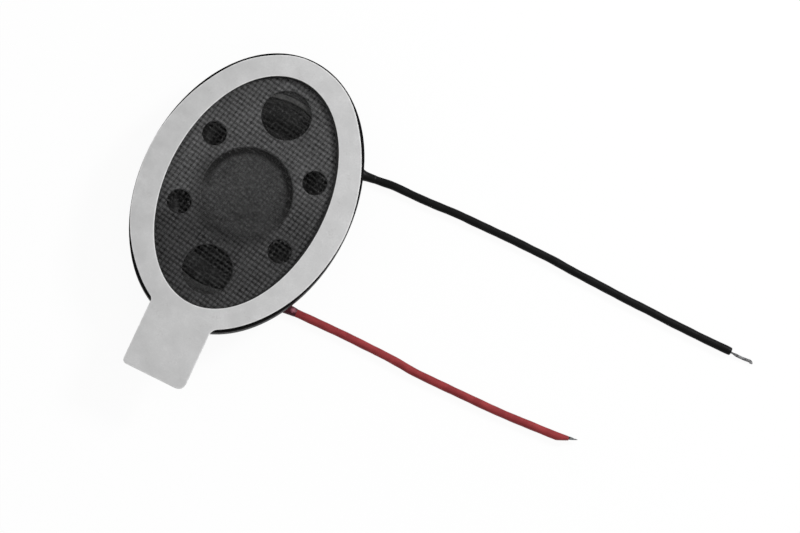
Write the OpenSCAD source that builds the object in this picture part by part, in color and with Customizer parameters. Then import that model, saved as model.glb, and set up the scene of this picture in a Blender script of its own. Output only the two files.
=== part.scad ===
// Oval phone loudspeaker, 20 x 28 mm, lying on its back with two flying leads.
// Z points out of the sound side. Y runs along the oval, with the pull tab at -Y.
// The origin is the centre of the yoke's back face.

/* [Frame] */
// Length of the oval frame
frame_l = 27.7; // [26:0.1:34]
// Width of the oval frame
frame_w = 20; // [19:0.5:24]
// Height of the frame's front edge above the yoke's back
frame_top = 4.5; // [4.3:0.1:6]
// Height of the rim that stands out round the front
rim_h = 1.2; // [0.8:0.1:1.3]
// How far the rim stands out past the frame's body
rim_out = 0.8; // [0.4:0.1:1]
// Thickness of the rim's wall beside the cover
rim_wall = 1.4; // [1.2:0.1:1.6]
// Thickness of the rim's wall at the cover's ends
rim_end_wall = 1.25; // [1.1:0.05:1.6]
// Height of the frame's underside above the yoke's back
underside = 1; // [0.9:0.05:1.2]
// Thickness of the frame's floor
floor_t = 0.8; // [0.6:0.05:0.9]
// Length of each sound vent in the frame's floor
vent_l = 3.6; // [2:0.2:4]
// Width of each sound vent
vent_w = 1.2; // [0.8:0.1:1.5]
// Depth of the two moulded pockets in the frame's ends
pocket_depth = 1.4; // [0.6:0.1:1.6]
// Wall left round those pockets
pocket_wall = 0.8; // [0.6:0.1:1]
// Width of the frame's ends that the pockets take up
pocket_w = 11.4; // [6:0.2:12]
// How far the damping cloths lap over the floor round the vents
cloth_lap = 0.6; // [0.3:0.1:0.8]
// Thickness of the damping cloths
cloth_t = 0.1; // [0.05:0.05:0.2]

/* [Front cover] */
// Thickness of the cover plate
cover_t = 0.4; // [0.3:0.05:0.5]
// Diameter of the pressed recess in the middle
recess_d = 8.6; // [6:0.2:9]
// Depth of that recess
recess_depth = 0.25; // [0.1:0.05:0.3]
// Diameter of the two large sound holes
large_hole_d = 4.7; // [3:0.1:4.8]
// Distance of the large holes from the middle
large_hole_y = 8.1; // [7.9:0.1:8.4]
// Diameter of the four small sound holes
small_hole_d = 2.3; // [1:0.1:2.3]
// Distance of the small holes from the long centre line
small_hole_x = 5.2; // [5.2:0.05:5.6]
// Distance of the small holes from the short centre line
small_hole_y = 3.6; // [2.5:0.1:3.6]

/* [Dust mesh] */
// Thickness of the woven dust mesh
mesh_t = 0.1; // [0.08:0.02:0.2]
// Distance from one gap in the weave to the next, drawn coarse
weave_pitch = 1.6; // [1.6:0.1:3]
// Width of a raised thread between the gaps
weave_ridge = 0.25; // [0.2:0.05:0.4]
// Width of a gap
weave_gap = 1.2; // [0.6:0.1:1.2]
// Depth of the weave's hollows below the threads
weave_depth = 0.04; // [0.02:0.01:0.05]

/* [Gasket] */
// Distance of the gasket's edge from the rim's at the ends
gasket_in_l = 0.25; // [0.2:0.05:0.8]
// Distance of the gasket's edge from the rim's at the sides
gasket_in_w = 0.1; // [0.05:0.05:0.6]
// Width of the gasket's band at the ends
band_l = 1.95; // [1.6:0.05:2.4]
// Width of the gasket's band at the sides
band_w = 2.35; // [2:0.05:2.8]
// Thickness of the foam
gasket_t = 0.3; // [0.2:0.05:1]
// Thickness of the adhesive film on the foam
adhesive_t = 0.05; // [0.05:0.05:0.1]
// Thickness of the release liner
liner_t = 0.05; // [0.05:0.05:0.15]
// How far the gasket is turned, in degrees, as it was stuck on
gasket_turn = 0.2; // [-2:0.1:2]
// How far the gasket was stuck on off the middle, towards the tab
gasket_off = 0.07; // [0:0.01:0.2]
// Width of the pull tab
tab_w = 6.25; // [4:0.05:8]
// How far the pull tab reaches past the gasket
tab_out = 5.65; // [3:0.05:8]
// Radius of the pull tab's corner at +X
tab_r = 0.9; // [0.3:0.1:1.5]
// Radius of its other corner
tab_tight_r = 0.5; // [0.3:0.1:1.5]
// Place of the pull tab across the gasket
tab_x = -0.2; // [-1:0.05:1]
// Sideways lean of the pull tab at its end
tab_lean = 0.2; // [-0.5:0.05:0.5]

/* [Diaphragm] */
// Width of the clamp ring at the ends
clamp_l = 3.1; // [2.8:0.1:3.4]
// Width of the clamp ring at the sides
clamp_w = 1.2; // [1:0.1:1.3]
// Width of the surround's roll along the length
roll_w = 2.2; // [1.4:0.1:2.3]
// Height of the surround's roll
roll_h = 0.45; // [0.3:0.05:0.5]
// Thickness of the surround's film
film_t = 0.08; // [0.06:0.01:0.1]
// Width of the film's flat rims, glued to the frame and to the diaphragm
film_rim = 0.6; // [0.4:0.1:0.8]
// Thickness of the diaphragm
plate_t = 0.1; // [0.08:0.02:0.14]
// Diameter of the dome in the diaphragm
dome_d = 8.8; // [6:0.2:9]
// Height of the dome
dome_h = 0.3; // [0.2:0.05:0.35]

/* [Motor] */
// Diameter of the yoke
yoke_d = 13.2; // [13.1:0.1:13.4]
// Wall of the yoke's cup
yoke_wall = 0.9; // [0.85:0.05:0.95]
// Thickness of the yoke's back
yoke_floor = 0.8; // [0.6:0.05:0.9]
// Thickness of the magnet
magnet_t = 1.1; // [0.9:0.05:1.2]
// Thickness of the pole plate
pole_t = 0.7; // [0.5:0.05:0.7]
// Travel left between the diaphragm and the yoke
cone_travel = 0.45; // [0.4:0.05:0.5]
// Clearance on each side of the coil in the magnet's gap
coil_gap = 0.3; // [0.25:0.05:0.35]
// Thickness of the coil's winding
coil_wall = 0.5; // [0.4:0.05:0.6]
// Height of the coil's winding
coil_h = 1.5; // [1.2:0.05:1.6]
// How much smaller the magnet is than the pole plate, all round
magnet_step = 0.1; // [0.05:0.05:0.3]
// Thickness of the coil's lead-out wires
wire_d = 0.12; // [0.08:0.01:0.15]

/* [Terminals] */
// Length of a terminal board
board_l = 3.4; // [3.2:0.1:3.6]
// Width of a terminal board
board_w = 2.2; // [1.8:0.1:2.4]
// Thickness of a terminal board
board_t = 0.3; // [0.25:0.05:0.4]
// How deep the boards are let into the frame
board_sink = 0.2; // [0.1:0.05:0.2]
// Thickness of the solder pads
pad_t = 0.05; // [0.05:0.01:0.06]
// Margin of bare board round a pad
pad_margin = 0.25; // [0.2:0.05:0.4]
// Diameter of the wire holes through the frame and the boards
wire_hole_d = 0.5; // [0.3:0.05:0.6]
// Height of the solder on a lead's conductor
solder_h = 0.7; // [0.65:0.05:0.7]
// Height of the solder on a lead-out wire
dot_h = 0.35; // [0.3:0.05:0.5]
// Distance of the wire holes from the boards' inner ends
wire_hole_in = 0.8; // [0.7:0.05:0.9]

/* [Leads] */
// Diameter of a lead over its insulation
lead_d = 0.8; // [0.6:0.05:0.8]
// Diameter of a lead's stranded conductor
core_d = 0.32; // [0.2:0.02:0.34]
// Diameter of the glue that holds a lead, under the frame
glue_d = 1.5; // [1.2:0.1:1.8]
// Length of the glue on the black lead
glue_black_l = 3.2; // [2:0.1:3.4]
// Length of the glue on the red lead
glue_red_l = 2.2; // [1.8:0.1:3]
// Thickness of the glue at its outer end
glue_edge = 0.08; // [0.04:0.02:0.2]

/* [Hidden] */
$fn = 96;
over = 1;               // overlap of a cutting shape past the face it cuts
fit = 0.05;             // clearance of pieces dropped into a seat
press = 0.02;           // clearance of pieces glued into a bore
sides = 8;              // sides of a swept lead or wire
roll_steps = 8;         // flats across the surround's roll
roll_around = 72;       // flats round the surround

plastic = [0.09, 0.09, 0.1];
plate_black = [0.16, 0.16, 0.17];
film_colour = [0.32, 0.31, 0.29];
foam = [0.12, 0.12, 0.12];
paper = [0.76, 0.76, 0.76];
steel = [0.66, 0.67, 0.69];
copper = [0.72, 0.42, 0.22];
tin = [0.78, 0.78, 0.8];
board_green = [0.1, 0.34, 0.2];
red = [0.6, 0.2, 0.22];

// Frame
body_l = frame_l - 2 * rim_out;
body_w = frame_w - 2 * rim_out;
seat_l = frame_l - 2 * rim_end_wall;
seat_w = frame_w - 2 * rim_wall;
rim_z = frame_top - rim_h;
floor_z = underside + floor_t;

// Diaphragm, from the frame's ledge up to the cover
cone_l = seat_l - 2 * clamp_l;
cone_w = seat_w - 2 * clamp_w;
cone_ratio = cone_w / cone_l;
cover_z = frame_top - cover_t;
yoke_top = yoke_floor + magnet_t + pole_t;
plate_z = yoke_top + cone_travel;
film_z = plate_z + plate_t;
film_top = film_z + film_t;
plate_l = cone_l - 2 * roll_w;
plate_w = plate_l * cone_ratio;

// Motor
yoke_id = yoke_d - 2 * yoke_wall;
coil_od = yoke_id - 2 * coil_gap;
coil_id = coil_od - 2 * coil_wall;
pole_d = coil_id - 2 * coil_gap;
magnet_d = pole_d - 2 * magnet_step;

// Front stack
gasket_l = frame_l - 2 * gasket_in_l;
gasket_w = frame_w - 2 * gasket_in_w;
opening_l = gasket_l - 2 * band_l;
opening_w = gasket_w - 2 * band_w;
gasket_z = frame_top + mesh_t;
adhesive_z = gasket_z + gasket_t;
liner_z = adhesive_z + adhesive_t;
front = liner_z + liner_t;
tab_root = 1;           // how far into the liner's band the pull tab starts

// Vents and cloths lie between the yoke and the wall of the cavity
vent_y = (yoke_d / 2 + cone_l / 2) / 2;

// Terminal boards, black then red. Each has its inner corner in this direction from the middle.
board_turn = [56.3, -63.4];
board_gap = [0.07, 0.55];   // distance of that corner from the yoke
board_at = [for (i = [0, 1]) let (r = yoke_d / 2 + board_gap[i], side = sign(board_turn[i]))
    [r * cos(board_turn[i]) + board_l / 2, r * sin(board_turn[i]) + side * board_w / 2]];
board_z = underside + board_sink - board_t;
pad_z = board_z - pad_t;
lead_z = 0.42;          // height of the leads' centre lines, just off the table
glue_low = 0.05;        // height of the glue's lowest point
wire_hole_dx = wire_hole_in - board_l / 2;
solder_dx = 0.45;       // place of a lead's solder from the middle of its board
solder_r = 0.8;         // radius of its foot
dot_r = 0.4;            // radius of the foot of a lead-out wire's solder
wire_bend = 0.3;        // room that a lead-out wire takes to turn down into its hole

// Route of each lead on the table, from its solder joint to its free end
black_path = [[5.3, 6.65], [6.8, 6.8], [7.3, 6.85], [8.9, 7.05], [10.5, 7.25], [11.7, 7.4], [14, 7.45],
    [16, 7.55], [18, 7.7], [20, 7.75], [22, 7.8], [24, 7.85], [26, 7.85], [28, 7.85], [30, 7.75],
    [32, 7.7], [34, 7.65], [36, 7.6], [38, 7.6], [40, 7.55], [42, 7.55], [44, 7.55], [46.5, 7.6]];
black_bare = [[47.3, 7.5], [48.1, 7.45], [48.8, 7.45]];
red_path = [[4.8, -7.5], [6.3, -7.5], [7, -7.5], [8.6, -7.45], [10.2, -7.4], [12, -7.35], [14, -7.3],
    [16, -7.3], [18, -7.3], [19.5, -7.35], [21, -7.45], [22.5, -7.45], [25, -7.4], [27, -7.35],
    [29, -7.3], [31, -7.2], [33, -7.05], [35, -6.9], [36.65, -6.75]];
stripped = 1;           // the insulation starts at this point of each route
glued = 2;              // the glue starts at this one, and the lead runs straight through it
snip_turn = 27;         // direction of the slanting cut at the red lead's end, from +X

// ---- shared shapes ----

// A block of everything between two heights
module layer(z0, z1) {
    size = 3 * frame_l;
    translate([-size / 2, -size / 2, z0]) cube([size, size, z1 - z0]);
}

// An upright bar of oval section, for cutting with
module oval_bar(l, w, z0, z1) {
    translate([0, 0, z0]) linear_extrude(z1 - z0) scale([w / l, 1]) circle(d = l);
}

// An oval block with flat ends
module oval_block(l, w, z0, z1) {
    intersection() {
        oval_bar(l, w, z0 - over, z1 + over);
        layer(z0, z1);
    }
}

module oval_ring(l, w, in_l, in_w, z0, z1) {
    difference() {
        oval_block(l, w, z0, z1);
        oval_bar(in_l, in_w, z0 - over, z1 + over);
    }
}

// A cap of solder under a pad: its foot is a circle of radius r at height z
module solder_cap(at, r, h, z) {
    ball_r = (r * r + h * h) / (2 * h);
    intersection() {
        translate([at[0], at[1], z - h + ball_r]) sphere(r = ball_r);
        layer(z - 2 * h, z);
    }
}

// ---- swept leads and wires ----

function unit(v) = v / norm(v);
function tangent(path, i) = unit(path[min(i + 1, len(path) - 1)] - path[max(i - 1, 0)]);
function at_height(path, z) = [for (p = path) [p[0], p[1], z]];

// One ring: its points stand square to the route, or on the snip's upright slanting plane
function ring(path, i, r, level, snip) =
    let (t = tangent(path, i), side = level == undef ? unit([-t[1], t[0], 0]) : level,
         up = cross(t, side), n = [-sin(snip), cos(snip), 0])
    [for (k = [0 : sides - 1])
        let (a = 360 * (k + 0.5) / sides, o = r * (cos(a) * side + sin(a) * up),
             slide = snip == 0 ? 0 : -(n * o) / (n * t))
        path[i] + o + slide * t];

function rings(path, r, level, snip) =
    [for (i = [0 : len(path) - 1]) each ring(path, i, r, level, i == len(path) - 1 ? snip : 0)];

// Triangles of a wall between rings, facing out, or in with flip
function wall(n, base, flip) =
    [for (i = [0 : n - 2], k = [0 : sides - 1])
        let (a = base + i * sides + k, b = base + i * sides + (k + 1) % sides,
             c = a + sides, d = b + sides)
        each flip ? [[a, b, d], [a, d, c]] : [[a, d, b], [a, c, d]]];

// A solid run along a route. level is the horizontal direction across a route that stands upright.
module solid_run(path, d, snip = 0, level = undef) {
    n = len(path);
    last = (n - 1) * sides;
    polyhedron(rings(path, d / 2, level, snip), concat(
        [[for (k = [0 : sides - 1]) k]],
        wall(n, 0, false),
        [[for (k = [sides - 1 : -1 : 0]) last + k]]), convexity = 6);
}

module hollow_run(path, d, bore, snip = 0) {
    n = len(path);
    inner = n * sides;
    last = (n - 1) * sides;
    points = concat(rings(path, d / 2, undef, snip), rings(path, bore / 2, undef, snip));
    start = [for (k = [0 : sides - 1]) let (j = (k + 1) % sides)
        each [[k, j, inner + j], [k, inner + j, inner + k]]];
    end = [for (k = [0 : sides - 1]) let (j = (k + 1) % sides)
        each [[last + k, inner + last + j, last + j], [last + k, inner + last + k, inner + last + j]]];
    polyhedron(points, concat(start, wall(n, 0, false), wall(n, inner, true), end), convexity = 8);
}

function from(path, first) = [for (i = [first : len(path) - 1]) path[i]];

// ---- front stack ----

// Puts what lies on the cover in its place, a little turned and off the middle
module stuck_on() {
    translate([0, -gasket_off, 0]) rotate(gasket_turn) children();
}

module tab_outline() {
    tip = -gasket_l / 2 - tab_out;
    linear_extrude(liner_t + 2 * over) hull() {
        for (corner = [[-1, tab_tight_r], [1, tab_r]])
            translate([tab_x + tab_lean + corner[0] * (tab_w / 2 - corner[1]), tip + corner[1]])
                circle(r = corner[1]);
        translate([tab_x - tab_w / 2, -opening_l / 2 - tab_root]) square([tab_w, tab_root / 2]);
    }
}

module release_liner() {
    color(paper) stuck_on() difference() {
        union() {
            oval_block(gasket_l, gasket_w, liner_z, front);
            intersection() {
                translate([0, 0, liner_z - over]) tab_outline();
                layer(liner_z, front);
            }
        }
        oval_bar(opening_l, opening_w, liner_z - over, front + over);
    }
}

module gasket_layer(z0, z1) {
    stuck_on() oval_ring(gasket_l, gasket_w, opening_l, opening_w, z0, z1);
}

module gasket_adhesive() {
    color("gainsboro") gasket_layer(adhesive_z, liner_z);
}

module front_gasket() {
    color(foam) gasket_layer(gasket_z, adhesive_z);
}

function in_opening(x, y, margin) =
    pow((abs(x) + margin) / (opening_w / 2), 2) + pow((abs(y) + margin) / (opening_l / 2), 2) < 1;

module dust_mesh() {
    reach_x = floor(opening_w / 2 / weave_pitch);
    reach_y = floor(opening_l / 2 / weave_pitch);
    hollow = weave_pitch - weave_ridge;
    color(plate_black) stuck_on() difference() {
        oval_block(gasket_l, gasket_w, frame_top, gasket_z);
        for (i = [-reach_x : reach_x], j = [-reach_y : reach_y])
            if (in_opening(i * weave_pitch, j * weave_pitch, hollow / 2))
                translate([i * weave_pitch, j * weave_pitch, gasket_z]) {
                    translate([-hollow / 2, -hollow / 2, -weave_depth]) cube([hollow, hollow, over]);
                    translate([-weave_gap / 2, -weave_gap / 2, -mesh_t - over])
                        cube([weave_gap, weave_gap, mesh_t + 2 * over]);
                }
    }
}

module front_cover() {
    color(plate_black) difference() {
        union() {
            oval_block(seat_l - 2 * fit, seat_w - 2 * fit, cover_z, frame_top);
            translate([0, 0, cover_z - recess_depth])
                cylinder(d = recess_d + cover_t, h = recess_depth + cover_t / 2);
        }
        translate([0, 0, frame_top - recess_depth]) cylinder(d = recess_d, h = over);
        for (s = [-1, 1])
            translate([0, s * large_hole_y, cover_z - over])
                cylinder(d = large_hole_d, h = cover_t + 2 * over);
        for (sx = [-1, 1], sy = [-1, 1])
            translate([sx * small_hole_x, sy * small_hole_y, cover_z - over])
                cylinder(d = small_hole_d, h = cover_t + 2 * over);
    }
}

// ---- diaphragm ----

module clamp_ring() {
    color(plastic) oval_ring(seat_l - 2 * fit, seat_w - 2 * fit, cone_l, cone_w, film_top, cover_z);
}

// The film's section from the middle outwards, as heights along one side: flat rim, roll, flat rim
function film_edge(lift) =
    let (chord = roll_w / 2, arc_r = (chord * chord + roll_h * roll_h) / (2 * roll_h),
         half_turn = asin(chord / arc_r), middle = plate_l / 2 + chord)
    concat([[plate_l / 2 - film_rim, lift]],
        [for (k = [0 : roll_steps]) let (a = half_turn * (2 * k / roll_steps - 1))
            [middle + arc_r * sin(a), lift + arc_r * cos(a) - arc_r + roll_h]],
        [[cone_l / 2 + film_rim, lift]]);

// The oval surround: its section carried round the oval, narrower across than along
module surround() {
    lower = film_edge(0);
    upper = film_edge(film_t);
    section = concat(lower, [for (k = [len(upper) - 1 : -1 : 0]) upper[k]]);
    m = len(section);
    points = [for (i = [0 : roll_around - 1], p = section)
        let (a = 360 * i / roll_around) [p[0] * cone_ratio * cos(a), p[0] * sin(a), film_z + p[1]]];
    color(film_colour) polyhedron(points, [for (i = [0 : roll_around - 1], k = [0 : m - 1])
        let (a = i * m + k, b = i * m + (k + 1) % m,
             c = (i + 1) % roll_around * m + k, d = (i + 1) % roll_around * m + (k + 1) % m)
        each [[a, b, d], [a, d, c]]], convexity = 6);
}

module diaphragm() {
    ball_r = (dome_d * dome_d / 4 + dome_h * dome_h) / (2 * dome_h);
    color(film_colour) {
        difference() {
            oval_block(plate_l, plate_w, plate_z, film_z);
            translate([0, 0, plate_z - over]) cylinder(d = dome_d - plate_t, h = plate_t + 2 * over);
        }
        intersection() {
            translate([0, 0, film_z + dome_h - ball_r]) difference() {
                sphere(r = ball_r);
                sphere(r = ball_r - plate_t);
            }
            translate([0, 0, plate_z]) cylinder(d = dome_d, h = dome_h + 2 * plate_t);
        }
    }
}

module voice_coil() {
    color(copper) translate([0, 0, plate_z - coil_h]) difference() {
        cylinder(d = coil_od, h = coil_h);
        translate([0, 0, -over]) cylinder(d = coil_id, h = coil_h + 2 * over);
    }
}

// A fine wire from the coil, over the yoke's wall and down through the floor to its terminal
module coil_wire(i) {
    hole = board_at[i] + [wire_hole_dx, 0];
    out = unit(hole);
    start = coil_od / 2 + wire_d;
    high = (yoke_top + plate_z) / 2;
    low = pad_z - dot_h / 2;
    legs = [[start, high], [(yoke_d / 2 + norm(hole)) / 2, high], [norm(hole) - wire_bend, high - wire_d],
        [norm(hole), high - wire_bend], [norm(hole), low]];
    color(copper) solid_run([for (leg = legs) [leg[0] * out[0], leg[0] * out[1], leg[1]]], wire_d,
        level = [-out[1], out[0], 0]);
}

module coil_wire_black() { coil_wire(0); }
module coil_wire_red() { coil_wire(1); }

// ---- frame and motor ----

// The slot of a sound vent, grown by lap all round
module vent(lap, z0, z1) {
    straight = vent_l - vent_w;
    for (s = [-1, 1]) translate([s * straight / 2, 0, z0]) cylinder(d = vent_w + 2 * lap, h = z1 - z0);
    translate([-straight / 2, -vent_w / 2 - lap, z0]) cube([straight, vent_w + 2 * lap, z1 - z0]);
}

// The crescent-shaped hollow moulded in one end of the frame's underside
module end_pocket(s) {
    top = underside + pocket_depth;
    intersection() {
        difference() {
            oval_bar(body_l - 2 * pocket_wall, body_w - 2 * pocket_wall, underside - over, top);
            oval_bar(cone_l + 2 * pocket_wall, cone_w + 2 * pocket_wall, underside - 2 * over, top + over);
        }
        translate([0, s * frame_l / 2, underside]) cube([pocket_w, frame_l / 2, frame_l], center = true);
    }
}

module frame() {
    color(plastic) difference() {
        union() {
            oval_block(frame_l, frame_w, rim_z, frame_top);
            oval_block(body_l, body_w, underside, rim_z);
        }
        oval_bar(seat_l, seat_w, film_z, frame_top + over);
        oval_bar(cone_l, cone_w, floor_z, film_z + over);
        translate([0, 0, underside - over]) cylinder(d = yoke_d + 2 * press, h = floor_t + 2 * over);
        for (s = [-1, 1]) {
            translate([0, s * vent_y, 0]) vent(0, underside - over, floor_z + over);
            end_pocket(s);
        }
        for (at = board_at) {
            translate([at[0] - board_l / 2 - fit, at[1] - board_w / 2 - fit, underside - over])
                cube([board_l + 2 * fit, board_w + 2 * fit, board_sink + over]);
            translate([at[0] + wire_hole_dx, at[1], underside]) cylinder(d = wire_hole_d, h = frame_top);
        }
    }
}

module pole_plate() {
    color(steel) translate([0, 0, yoke_top - pole_t]) cylinder(d = pole_d, h = pole_t);
}

module magnet() {
    color("silver") translate([0, 0, yoke_floor]) cylinder(d = magnet_d, h = magnet_t);
}

module yoke() {
    color(steel) difference() {
        cylinder(d = yoke_d, h = yoke_top);
        translate([0, 0, yoke_floor]) cylinder(d = yoke_id, h = yoke_top);
    }
}

// A cloth over one vent, cut back where it would meet the yoke
module vent_cloth(s) {
    color("dimgray") difference() {
        translate([0, s * vent_y, 0]) vent(cloth_lap, underside - cloth_t, underside);
        cylinder(d = yoke_d + 2 * fit, h = underside);
    }
}

module vent_cloth_1() { vent_cloth(-1); }
module vent_cloth_2() { vent_cloth(1); }

// ---- terminals ----

module terminal_board(i) {
    at = board_at[i];
    color(board_green) difference() {
        translate([at[0] - board_l / 2, at[1] - board_w / 2, board_z]) cube([board_l, board_w, board_t]);
        translate([at[0] + wire_hole_dx, at[1], board_z - over])
            cylinder(d = wire_hole_d, h = board_t + 2 * over);
    }
}

module terminal_board_black() { terminal_board(0); }
module terminal_board_red() { terminal_board(1); }

module terminal_pad(i) {
    at = board_at[i];
    l = board_l - 2 * pad_margin;
    w = board_w - 2 * pad_margin;
    color(tin) difference() {
        translate([at[0] - l / 2, at[1] - w / 2, pad_z]) cube([l, w, pad_t]);
        translate([at[0] + wire_hole_dx, at[1], pad_z - over])
            cylinder(d = wire_hole_d, h = pad_t + 2 * over);
    }
}

module terminal_pad_black() { terminal_pad(0); }
module terminal_pad_red() { terminal_pad(1); }

// Solder on a lead's conductor, which runs through it
module solder(i, path) {
    along = path[1] - path[0];
    color(tin) difference() {
        solder_cap([board_at[i][0] + solder_dx, path[0][1]], solder_r, solder_h, pad_z);
        translate([path[0][0], path[0][1], lead_z]) rotate([0, 90, atan2(along[1], along[0])])
            translate([0, 0, -press]) cylinder(d = core_d + 2 * press, h = board_l);
    }
}

module solder_black() { solder(0, black_path); }
module solder_red() { solder(1, red_path); }

module wire_solder(i) {
    at = board_at[i] + [wire_hole_dx, 0];
    color(tin) difference() {
        solder_cap(at, dot_r, dot_h, pad_z);
        translate([at[0], at[1], pad_z - dot_h / 2 - wire_d]) cylinder(d = wire_d + 2 * press, h = dot_h);
    }
}

module wire_solder_black() { wire_solder(0); }
module wire_solder_red() { wire_solder(1); }

// Glue between a lead and the frame's underside, drawn out along the lead
module glue(path, reach) {
    bore = lead_d + 2 * press;
    along = path[glued + 1] - path[glued];
    difference() {
        intersection() {
            translate([path[glued][0], path[glued][1], lead_z]) rotate([0, 90, atan2(along[1], along[0])])
                cylinder(d1 = glue_d, d2 = bore + 2 * glue_edge, h = reach);
            layer(glue_low, underside);
        }
        translate([path[glued][0], path[glued][1], lead_z]) rotate([0, 90, atan2(along[1], along[0])])
            translate([0, 0, -over]) cylinder(d = bore, h = reach + 2 * over);
    }
}

module glue_black() { color(plastic) glue(black_path, glue_black_l); }
module glue_red() { color("mistyrose") glue(red_path, glue_red_l); }

// ---- leads ----

module lead_black() {
    color("black") hollow_run(from(at_height(black_path, lead_z), stripped), lead_d, core_d + 2 * press);
}

module lead_red() {
    color(red) hollow_run(from(at_height(red_path, lead_z), stripped), lead_d, core_d + 2 * press, snip_turn);
}

module conductor_black() {
    color(tin) solid_run(at_height(concat(black_path, black_bare), lead_z), core_d);
}

module conductor_red() {
    color(tin) solid_run(at_height(red_path, lead_z), core_d, snip_turn);
}

release_liner();
gasket_adhesive();
front_gasket();
dust_mesh();
front_cover();
clamp_ring();
surround();
diaphragm();
voice_coil();
coil_wire_black();
coil_wire_red();
frame();
pole_plate();
magnet();
yoke();
vent_cloth_1();
vent_cloth_2();
terminal_board_black();
terminal_board_red();
terminal_pad_black();
terminal_pad_red();
solder_black();
solder_red();
wire_solder_black();
wire_solder_red();
glue_black();
glue_red();
lead_black();
lead_red();
conductor_black();
conductor_red();
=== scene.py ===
# An oval phone loudspeaker on its back, sound side up, with a black and a red flying lead.
# Lengths in this file are in millimetres unless a name says otherwise, and every mesh is written in metres.
from math import acos, copysign, cos, degrees, exp, pi, radians, sin, sqrt

import bmesh
import bpy
from mathutils import Matrix, Vector
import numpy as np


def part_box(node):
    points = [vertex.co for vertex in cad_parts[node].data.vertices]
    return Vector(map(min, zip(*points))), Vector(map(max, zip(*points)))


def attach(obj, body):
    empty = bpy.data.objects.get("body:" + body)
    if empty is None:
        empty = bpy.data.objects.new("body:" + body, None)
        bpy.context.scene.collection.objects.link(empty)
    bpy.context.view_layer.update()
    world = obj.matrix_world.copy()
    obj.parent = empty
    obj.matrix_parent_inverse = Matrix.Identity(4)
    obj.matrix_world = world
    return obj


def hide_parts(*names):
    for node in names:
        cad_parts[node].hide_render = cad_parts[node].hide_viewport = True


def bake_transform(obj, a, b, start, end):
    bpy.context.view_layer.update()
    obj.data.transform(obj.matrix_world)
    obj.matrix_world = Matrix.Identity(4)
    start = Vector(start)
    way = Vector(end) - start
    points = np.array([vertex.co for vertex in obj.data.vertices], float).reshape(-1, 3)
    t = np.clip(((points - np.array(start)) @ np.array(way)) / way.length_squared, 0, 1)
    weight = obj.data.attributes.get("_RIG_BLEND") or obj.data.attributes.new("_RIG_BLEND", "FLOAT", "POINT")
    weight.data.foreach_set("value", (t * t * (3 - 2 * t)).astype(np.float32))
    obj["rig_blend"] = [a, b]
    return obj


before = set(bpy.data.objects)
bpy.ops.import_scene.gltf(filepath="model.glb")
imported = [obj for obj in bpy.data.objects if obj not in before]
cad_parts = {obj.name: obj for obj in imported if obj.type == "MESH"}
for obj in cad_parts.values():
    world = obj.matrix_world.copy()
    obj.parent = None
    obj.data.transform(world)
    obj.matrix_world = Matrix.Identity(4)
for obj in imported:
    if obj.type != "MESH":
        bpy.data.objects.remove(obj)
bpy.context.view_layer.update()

MM = 0.001
HOUSING, CONE = "housing", "cone"


def node_box(node):
    """A solid's lowest and highest corners, in millimetres."""
    low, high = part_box(node)
    return [c / MM for c in low], [c / MM for c in high]


def heights(node):
    """A solid's lowest and highest z, in millimetres."""
    return [corner[2] for corner in node_box(node)]


def placed(name, data):
    """A new object in the scene."""
    made = bpy.data.objects.new(name, data)
    bpy.context.collection.objects.link(made)
    return made


# ---- camera, as the loudspeaker is looked at from above its tab ----

AZIMUTH, ELEVATION = radians(26.9), radians(79.5)
DISTANCE = 450.0
FIELD_WIDTH = 74.84                     # width of the view at the loudspeaker
LOOK_RIGHT, LOOK_DOWN = 14.31, 6.12     # where the view is centred, across and down from the yoke
SENSOR = 36.0


def add_camera():
    right = Vector((cos(AZIMUTH), sin(AZIMUTH), 0))
    back = Vector((sin(AZIMUTH) * cos(ELEVATION), -cos(AZIMUTH) * cos(ELEVATION), sin(ELEVATION)))
    eye = DISTANCE * back
    target = LOOK_RIGHT * right - LOOK_DOWN * back.cross(right)
    z_axis = (eye - target).normalized()
    x_axis = (right - right.dot(z_axis) * z_axis).normalized()
    turned = Matrix((x_axis, z_axis.cross(x_axis), z_axis)).transposed()
    data = bpy.data.cameras.new("camera")
    data.sensor_width = SENSOR
    data.lens = SENSOR * (eye - target).length / FIELD_WIDTH
    data.clip_start, data.clip_end = 0.01, 10
    camera = placed("camera", data)
    camera.matrix_world = Matrix.Translation(eye * MM) @ turned.to_4x4()
    bpy.context.scene.camera = camera


add_camera()

# ---- materials ----


def operator(operation, reflected=False):
    """A Math node as one of Python's operators."""
    def apply(value, other):
        return value.nodes.math(operation, *((other, value) if reflected else (value, other)))
    return apply


class Value:
    """An output socket in a tree of nodes, on which Python's operators add Math nodes."""

    def __init__(self, nodes, socket):
        self.nodes = nodes
        self.socket = socket

    __add__ = __radd__ = operator("ADD")
    __sub__, __rsub__ = operator("SUBTRACT"), operator("SUBTRACT", reflected=True)
    __mul__ = __rmul__ = operator("MULTIPLY")
    __truediv__, __rtruediv__ = operator("DIVIDE"), operator("DIVIDE", reflected=True)
    __pow__, __rpow__ = operator("POWER"), operator("POWER", reflected=True)

    def clamp(self):
        return self.nodes.math("MINIMUM", self.nodes.math("MAXIMUM", self, 0.0), 1.0)

    def ramp(self, low, high):
        """0 where the value is low, 1 where it is high, and even between."""
        return ((self - low) / (high - low)).clamp()


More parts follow.
